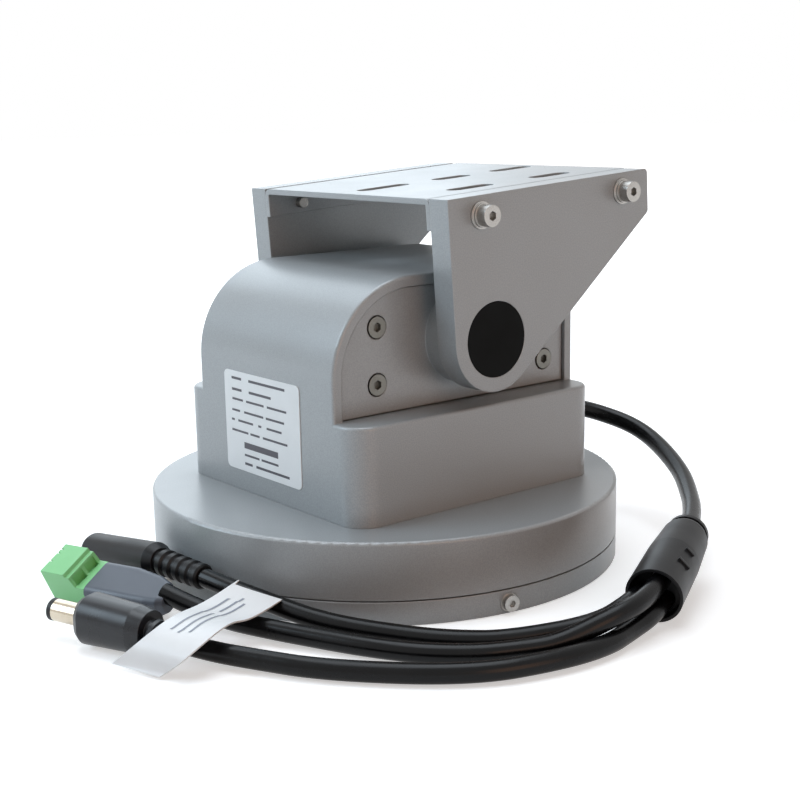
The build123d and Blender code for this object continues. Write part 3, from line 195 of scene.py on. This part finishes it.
# %% [markdown]
# ## Silver powder paint on cast and folded aluminium
# The castings, the arms and the top sheet are sprayed with one satin silver-grey powder and baked. Baked
# powder flows into a faint orange peel about a millimetre across, and the aluminium flake in it gives a
# fine sparkle. Flakes are 0.05 mm, too fine for this picture, so they are drawn 0.3 mm across. Where the
# paint draws thin over an edge it is a little lighter: a rounded normal that differs from the flat one
# finds those edges. The shine is mostly the clear resin's, so the metallic share is low.

# %% Silver powder paint
FLAKE_MM, PEEL_MM, CLOUD_MM = 0.3, 1.1, 22.0
PAINT_EDGE, PEEL_DEPTH = 0.0005, 0.000010
EDGE_SAMPLES = 6


def powder_paint(name, colour, thin, roughness):
    material, tree, shader, place = begin_finish(name, Metallic=0.15, Coat_Weight=0.2, Coat_Roughness=0.25)
    flake = add(tree, "ShaderNodeTexNoise", {"Vector": place, "Scale": 1 / FLAKE_MM, "Detail": 1.0})
    glint = add(tree, "ShaderNodeMapRange",
                {"Value": flake.outputs["Fac"], 1: 0.35, 2: 0.65, 3: 0.0, 4: 0.22})
    sparkle = add(tree, "ShaderNodeMix",
                  {0: glint.outputs[0], 6: hue(colour), 7: hue(thin)}, data_type="RGBA")
    rounded = add(tree, "ShaderNodeBevel", {"Radius": PAINT_EDGE}, samples=EDGE_SAMPLES)
    flat = add(tree, "ShaderNodeNewGeometry")
    match = add(tree, "ShaderNodeVectorMath", {0: rounded.outputs[0], 1: flat.outputs["Normal"]},
                operation="DOT_PRODUCT")
    edge = add(tree, "ShaderNodeMapRange",
               {"Value": match.outputs["Value"], 1: 0.99, 2: 0.80, 3: 0.0, 4: 0.45})
    tone = add(tree, "ShaderNodeMix",
               {0: edge.outputs[0], 6: sparkle.outputs[2], 7: hue(thin)}, data_type="RGBA")
    tree.links.new(tone.outputs[2], shader.inputs["Base Color"])
    cloud = add(tree, "ShaderNodeTexNoise", {"Vector": place, "Scale": 1 / CLOUD_MM, "Detail": 3.0})
    satin = add(tree, "ShaderNodeMapRange",
                {"Value": cloud.outputs["Fac"], 1: 0.3, 2: 0.7, 3: roughness - 0.04, 4: roughness + 0.04})
    tree.links.new(satin.outputs[0], shader.inputs["Roughness"])
    peel = add(tree, "ShaderNodeTexNoise", {"Vector": place, "Scale": 1 / PEEL_MM, "Detail": 1.0})
    bump = add(tree, "ShaderNodeBump", {"Height": peel.outputs["Fac"], "Distance": PEEL_DEPTH,
                                        "Strength": 1.0, "Normal": rounded.outputs[0]})
    tree.links.new(bump.outputs[0], shader.inputs["Normal"])
    return material


silver_paint = powder_paint("silver_powder_paint", "#8f9395", "#b8bbbd", 0.36)
print("mixed", silver_paint.name)

# %% [markdown]
# ## Bare and plated metal
# Most screws and their washers are stainless steel. The ones on the housing and its side plates get a
# darker, duller steel, whose darker colour is painted shade from the recesses they sit in. Shafts, races and
# balls are ground steel, the motors are zinc plated, the small gears are hobbed brass, and the contacts and
# the plug's barrel are nickel plated. The mounting plate, the toothed sector and the spacers are turned
# aluminium. One
# recipe serves all seven: a metal keeps its default refraction, and fine tool marks, 0.12 to 0.5 mm apart,
# break up its shine.

# %% Metals
STAIN_MM, MARK_DEPTH = 6.0, 0.000004


def bare_metal(name, colour, dull, roughness, mark_mm, edge_mm=0.25):
    material, tree, shader, place = begin_finish(name, Metallic=1.0)
    stain = add(tree, "ShaderNodeTexNoise", {"Vector": place, "Scale": 1 / STAIN_MM, "Detail": 2.0})
    patch = add(tree, "ShaderNodeMapRange",
                {"Value": stain.outputs["Fac"], 1: 0.35, 2: 0.75, 3: 0.0, 4: 0.5})
    tone = add(tree, "ShaderNodeMix",
               {0: patch.outputs[0], 6: hue(colour), 7: hue(dull)}, data_type="RGBA")
    tree.links.new(tone.outputs[2], shader.inputs["Base Color"])
    marks = add(tree, "ShaderNodeTexNoise", {"Vector": place, "Scale": 1 / mark_mm, "Detail": 3.0})
    shine = add(tree, "ShaderNodeMapRange",
                {"Value": marks.outputs["Fac"], 1: 0.3, 2: 0.7, 3: roughness - 0.06, 4: roughness + 0.08})
    tree.links.new(shine.outputs[0], shader.inputs["Roughness"])
    rounded = add(tree, "ShaderNodeBevel", {"Radius": edge_mm / 1000}, samples=EDGE_SAMPLES)
    bump = add(tree, "ShaderNodeBump", {"Height": marks.outputs["Fac"], "Distance": MARK_DEPTH,
                                        "Strength": 1.0, "Normal": rounded.outputs[0]})
    tree.links.new(bump.outputs[0], shader.inputs["Normal"])
    return material


stainless = bare_metal("stainless_steel_turned", "#a9a6a2", "#8b8783", 0.3, 0.15)
# The darker colour of this steel is painted shade of the recesses that these screws sit in.
shaded_steel = bare_metal("steel_screw_painted_shade", "#77756f", "#5c5a56", 0.42, 0.2)
ground_steel = bare_metal("steel_ground", "#a4a5a7", "#838486", 0.24, 0.12)
zinc_steel = bare_metal("steel_zinc_plated", "#a5a8ac", "#868a90", 0.38, 0.4)
turned_aluminium = bare_metal("aluminium_turned", "#b4b6b8", "#9b9da0", 0.36, 0.3)
gear_brass = bare_metal("brass_hobbed", "#c29c55", "#a07d3e", 0.3, 0.2)
nickel = bare_metal("nickel_plated_brass", "#cfc4b2", "#a99c88", 0.16, 0.5, 0.15)
print("mixed seven metals")

# %% [markdown]
# ## Plastics
# The leads are extruded PVC, smooth and fairly glossy, with long faint ripples from the die. Their
# mouldings are softer PVC, cast in eroded moulds that leave a grain of about 0.3 mm. The caps are matt
# ABS, the terminal is green PBT, and the sticker and flag are white polypropylene film. A matt black has
# a weak shine, so its specular level is low, and without that it would look grey against a white studio.

# %% Plastics
PATCH_MM = 9.0


def plastic(name, colour, worn, roughness, grain_mm, depth_mm, edge_mm=0.3, **surface):
    material, tree, shader, place = begin_finish(name, IOR=1.5, **surface)
    patches = add(tree, "ShaderNodeTexNoise", {"Vector": place, "Scale": 1 / PATCH_MM, "Detail": 3.0})
    wear = add(tree, "ShaderNodeMapRange",
               {"Value": patches.outputs["Fac"], 1: 0.35, 2: 0.75, 3: 0.0, 4: 0.6})
    tone = add(tree, "ShaderNodeMix",
               {0: wear.outputs[0], 6: hue(colour), 7: hue(worn)}, data_type="RGBA")
    tree.links.new(tone.outputs[2], shader.inputs["Base Color"])
    satin = add(tree, "ShaderNodeMapRange",
                {"Value": patches.outputs["Fac"], 1: 0.3, 2: 0.7, 3: roughness - 0.05, 4: roughness + 0.06})
    tree.links.new(satin.outputs[0], shader.inputs["Roughness"])
    texture = add(tree, "ShaderNodeTexNoise", {"Vector": place, "Scale": 1 / grain_mm, "Detail": 2.0})
    bump = add(tree, "ShaderNodeBump",
               {"Height": texture.outputs["Fac"], "Distance": depth_mm / 1000, "Strength": 1.0})
    if edge_mm:
        rounded = add(tree, "ShaderNodeBevel", {"Radius": edge_mm / 1000}, samples=EDGE_SAMPLES)
        tree.links.new(rounded.outputs[0], bump.inputs["Normal"])
    tree.links.new(bump.outputs[0], shader.inputs["Normal"])
    return material


lead_pvc = plastic("pvc_extruded_black", "#060607", "#0d0d0e", 0.26, 1.8, 0.02, 0.0, Specular_IOR_Level=0.2)
soft_pvc = plastic("pvc_moulded_black", "#0b0b0d", "#151517", 0.38, 0.3, 0.010, Specular_IOR_Level=0.22)
plug_pvc = plastic("pvc_moulded_glossy", "#191b1f", "#24272c", 0.3, 0.3, 0.006, Specular_IOR_Level=0.4)
slate_pvc = plastic("pvc_moulded_slate", "#464d58", "#525963", 0.4, 0.3, 0.010, Specular_IOR_Level=0.5)
matt_abs = plastic("abs_moulded_black", "#0b0c0c", "#101111", 0.7, 0.25, 0.01, Specular_IOR_Level=0.08)
satin_abs = plastic("abs_satin_black", "#111113", "#18181a", 0.45, 0.25, 0.01, Specular_IOR_Level=0.3)
green_pbt = plastic("pbt_terminal_green", "#80c986", "#90d495", 0.34, 0.3, 0.006)
board_epoxy = plastic("epoxy_board_green", "#1c5a34", "#24683e", 0.35, 0.6, 0.01)
white_film = plastic("polypropylene_film_white", "#e6e7e7", "#dfe0e0", 0.42, 0.5, 0.004, 0.1)
label_ink = plastic("ink_thermal_grey", "#45434a", "#56545b", 0.5, 0.3, 0.002, 0.0)
flag_ink = plastic("ink_ribbon_grey", "#868b95", "#999da6", 0.5, 0.3, 0.002, 0.0)
print("mixed eleven plastics and inks")

# %% [markdown]
# ## Which finish goes where
# Each CAD piece keeps its mesh and gets the finish of the real one. The list names them by finish, and the
# cell prints the names of any pieces that it misses.

# %% Give each piece its finish
WEARS = {
    silver_paint: ["base_ring", "turntable", "housing", "side_plate_right", "side_plate_left", "arm_right",
                   "arm_left", "top_sheet"],
    turned_aluminium: ["mounting_plate", "tilt_sector", "shaft_spacers"],
    stainless: ["ring_screws", "ring_screw_washers", "motor_screws", "shaft_end_screws", "shaft_end_washers",
                "arm_screws", "arm_screw_washers"],
    # The housing and side plate screws wear the steel whose darker colour is painted shade.
    shaded_steel: ["housing_screws", "side_plate_screws"],
    ground_steel: ["pan_spindle", "spindle_screws", "spindle_nut", "pan_gear_screws", "pan_inner_races",
                   "pan_outer_races", "pan_bearing_balls", "tilt_inner_races", "tilt_outer_races",
                   "tilt_bearing_balls", "pan_stop_pin", "tilt_shaft", "sector_screw", "pan_motor_shaft",
                   "tilt_motor_shaft"],
    zinc_steel: ["pan_motor", "tilt_motor", "tilt_motor_bracket"],
    gear_brass: ["pan_gear", "pan_pinion", "tilt_pinion"],
    nickel: ["socket_contact", "terminal_contacts", "plug_barrel"],
    matt_abs: ["arm_caps"],
    satin_abs: ["cable_gland", "plug_tip", "board_parts"],
    soft_pvc: ["lead_splitter", "socket_moulding"],
    plug_pvc: ["plug_moulding"],
    slate_pvc: ["terminal_overmould"],
    green_pbt: ["terminal_block"],
    board_epoxy: ["control_board"],
    white_film: ["rating_label", "flag_tag"],
}
for finish, names in WEARS.items():
    for name in names:
        nodes[name].data.materials.clear()
        nodes[name].data.materials.append(finish)
for jacket in jackets.values():
    jacket.data.materials.clear()
    jacket.data.materials.append(lead_pvc)
bare = set(nodes) - {name for names in WEARS.values() for name in names} - set(LEADS)
print("pieces with no finish:", sorted(bare))

# %% [markdown]
# ## The sticker's print
# The real sticker has rows of small print, which this part leaves off. In their place are plain bars of
# the same size and weight, cut from one thin mesh that lies on the film. Each row says where its bars
# start and end, in millimetres from the sticker's top left corner.

# %% Plain bars on the sticker
PRINT_ROWS = [
    (1.95, 0.7, [(3.7, 8.5), (12.0, 29.0)]),
    (5.05, 0.7, [(3.7, 8.5), (12.0, 22.5)]),
    (7.7, 0.6, [(3.7, 9.0), (10.5, 19.0), (20.5, 29.5)]),
    (10.8, 0.6, [(3.4, 7.3), (9.3, 18.6), (19.8, 28.3)]),
    (13.5, 0.6, [(3.0, 4.5), (6.2, 13.5), (16.0, 17.5), (20.0, 27.0)]),
    (16.4, 0.6, [(3.0, 11.0), (12.0, 16.5), (18.0, 29.5)]),
    (19.9, 1.7, [(8.8, 25.0)]),
    (22.6, 0.6, [(8.8, 16.0), (17.0, 25.0)]),
    (25.0, 0.7, [(8.8, 12.5), (14.3, 30.0)]),
]
INK_RISE = 0.00003


def ink_piece(name, ink, sheets):
    """One mesh of thin printed patches, each given by its four corners."""
    mesh = bmesh.new()
    for corners in sheets:
        mesh.faces.new([mesh.verts.new(corner) for corner in corners])
    data = bpy.data.meshes.new(name)
    mesh.to_mesh(data)
    mesh.free()
    piece = bpy.data.objects.new(name, data)
    bpy.context.scene.collection.objects.link(piece)
    piece.data.materials.append(ink)
    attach(piece, "housing")
    return piece


label_low, label_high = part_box("rating_label")
bars = []
for down, tall, words in PRINT_ROWS:
    z = label_high.z - down / 1000
    for start, end in words:
        x0, x1 = label_low.x + start / 1000, label_low.x + end / 1000
        bars.append([(x, label_low.y - INK_RISE, z + side * tall / 2000)
                     for x, side in ((x0, -1), (x1, -1), (x1, 1), (x0, 1))])
sticker_print = ink_piece("sticker_print", label_ink, bars)
print("bars on the sticker:", len(sticker_print.data.polygons))

# %% [markdown]
# ## The flag's ruled lines
# The flag is a strip of film, folded round a lead and glued, and it curls down to the floor. Its two
# edges are given point by point. A ruled line keeps one share of the way across while it runs along, and
# each of its corners is dropped onto the film, so the print follows the curl.

# %% Ruled lines on the flag
FLAG_EDGES = [
    ((24.7, -65.0, 10.5), (37.3, -59.3, 8.0)), ((26.5, -73.2, 8.9), (39.1, -67.3, 7.2)),
    ((29.3, -81.4, 8.6), (42.1, -75.8, 7.8)), ((34.9, -91.7, 9.3), (47.9, -86.5, 8.8)),
    ((35.5, -96.9, 7.4), (48.9, -92.7, 6.5))]
FLAG_LINES = [(0.27, 0.045, 0.9, 3.2), (0.45, 0.045, 0.7, 1.7),
              (0.45, 0.045, 1.9, 3.3), (0.60, 0.045, 1.0, 3.1)]
LINE_STEP = 0.1
DROP_FROM = 0.003


def on_flag(across, along):
    """A spot just above the film, from its share across and the edge points it lies between."""
    first = min(int(along), len(FLAG_EDGES) - 2)
    near, far = (Vector(l).lerp(Vector(r), across) for l, r in FLAG_EDGES[first:first + 2])
    left, right = (Vector(p) for p in FLAG_EDGES[first])
    spot = near.lerp(far, along - first) / 1000
    up = (right - left).cross(far - near).normalized()
    up = up if up.z > 0 else -up
    _, surface, normal, _ = nodes["flag_tag"].closest_point_on_mesh(spot + up * DROP_FROM)
    return surface + normal * 2 * INK_RISE


dashes = []
for across, thick, start, end in FLAG_LINES:
    steps = round((end - start) / LINE_STEP)
    for i in range(steps):
        a, b = start + i * LINE_STEP, start + (i + 1) * LINE_STEP
        dashes.append([on_flag(across - thick / 2, a), on_flag(across + thick / 2, a),
                       on_flag(across + thick / 2, b), on_flag(across - thick / 2, b)])
flag_print = ink_piece("flag_print", flag_ink, dashes)
print("patches along the flag's lines:", len(dashes))

# %% [markdown]
# ## The leads counted
# The photograph shows all four leads from end to end. The cell prints how many leads there are.


print("declared", len(LEADS), "leads")

# %% [markdown]
# ## Floor, light and background
# A white sweep and soft lamps suit a catalogue picture. The floor is pale and keeps the shadow, and it
# fades to plain white away from the head. Seen by the camera, and in shiny metal, the world is plain
# white, while a dimmer world lights the head from all round.

# %% Floor and world
FLOOR_REACH, FLOOR_DROP = 6.0, 0.0002
FADE_FROM, FADE_TO = 0.25, 0.9
NEAR_GLOW, FAR_GLOW = 0.5, 1.0
DIM_WORLD, WHITE_WORLD = 0.2, 1.0
floor_mesh = bpy.data.meshes.new("studio_floor")
corners = [(x * FLOOR_REACH, y * FLOOR_REACH, 0) for x, y in ((-1, -1), (1, -1), (1, 1), (-1, 1))]
floor_mesh.from_pydata(corners, [], [(0, 1, 2, 3)])
floor = bpy.data.objects.new("studio_floor", floor_mesh)
floor.location.z = -FLOOR_DROP
bpy.context.scene.collection.objects.link(floor)


def direct_share(tree):
    """1 where the camera looks straight at it, or by a shiny or clear surface, and 0 for soft light."""
    path = add(tree, "ShaderNodeLightPath").outputs
    shiny = add(tree, "ShaderNodeMath", {0: path["Is Camera Ray"], 1: path["Is Glossy Ray"]},
                operation="MAXIMUM")
    return add(tree, "ShaderNodeMath", {0: shiny.outputs[0], 1: path["Is Transmission Ray"]},
               operation="MAXIMUM").outputs[0]


paper = bpy.data.materials.new("studio_paper_white")
paper.use_nodes = True
tree = paper.node_tree
tree.nodes.clear()
matt = add(tree, "ShaderNodeBsdfDiffuse", {"Color": hue("#e6e6e6")})
spot = add(tree, "ShaderNodeNewGeometry").outputs["Position"]
distance = add(tree, "ShaderNodeVectorMath", {0: spot}, operation="LENGTH").outputs["Value"]
lift = add(tree, "ShaderNodeMapRange",
           {"Value": distance, 1: FADE_FROM, 2: FADE_TO, 3: NEAR_GLOW, 4: FAR_GLOW})
share = add(tree, "ShaderNodeMath", {0: direct_share(tree), 1: lift.outputs[0]}, operation="MULTIPLY")
glow = add(tree, "ShaderNodeEmission", {"Color": (1, 1, 1, 1), "Strength": share.outputs[0]})
blend = add(tree, "ShaderNodeAddShader", {0: matt.outputs[0], 1: glow.outputs[0]})
add(tree, "ShaderNodeOutputMaterial", {"Surface": blend.outputs[0]})
floor.data.materials.append(paper)

world = bpy.data.worlds.new("studio_world")
bpy.context.scene.world = world
world.use_nodes = True
tree = world.node_tree
tree.nodes.clear()
dim = add(tree, "ShaderNodeBackground", {"Color": hue("#fff0e4"), "Strength": DIM_WORLD})
white = add(tree, "ShaderNodeBackground", {"Color": (1, 1, 1, 1), "Strength": WHITE_WORLD})
sky = add(tree, "ShaderNodeMixShader", {0: direct_share(tree), 1: dim.outputs[0], 2: white.outputs[0]})
add(tree, "ShaderNodeOutputWorld", {"Surface": sky.outputs[0]})
print("floor reaches", FLOOR_REACH, "m each way")

# %% [markdown]
# ## Lamps
# Soft light comes from large lamps, so all four are squares about a metre wide. A cool one stands in
# front of the label, a second hangs overhead, a third stands behind on the left like a window, for the
# shine on the arch, and a weak warm one lights the right arm.

# %% Lamps
def lamp(name, spot, aim, size, watts, colour):
    """A square soft lamp that faces a point."""
    data = bpy.data.lights.new(name, "AREA")
    data.shape = "SQUARE"
    data.size = size
    data.energy = watts
    data.color = hue(colour)[:3]
    made = bpy.data.objects.new(name, data)
    bpy.context.scene.collection.objects.link(made)
    made.location = spot
    made.rotation_mode = "QUATERNION"
    made.rotation_quaternion = (Vector(aim) - Vector(spot)).to_track_quat("-Z", "Y")
    return made


lamp("key_lamp", (-0.75, -1.2, 0.9), (0, 0, 0.05), 0.9, 15, "#d9efff")
lamp("top_lamp", (-0.2, 0.1, 1.6), (0, 0, 0.05), 1.2, 17, "#ecf6ff")
lamp("window_lamp", (-1.3, 0.5, 0.95), (0, 0, 0.06), 1.3, 8, "#e0f2ff")
lamp("side_lamp", (1.4, -0.1, 0.4), (0, 0, 0.06), 0.8, 3.6, "#ffb988")
bpy.context.scene.view_settings.view_transform = "Standard"
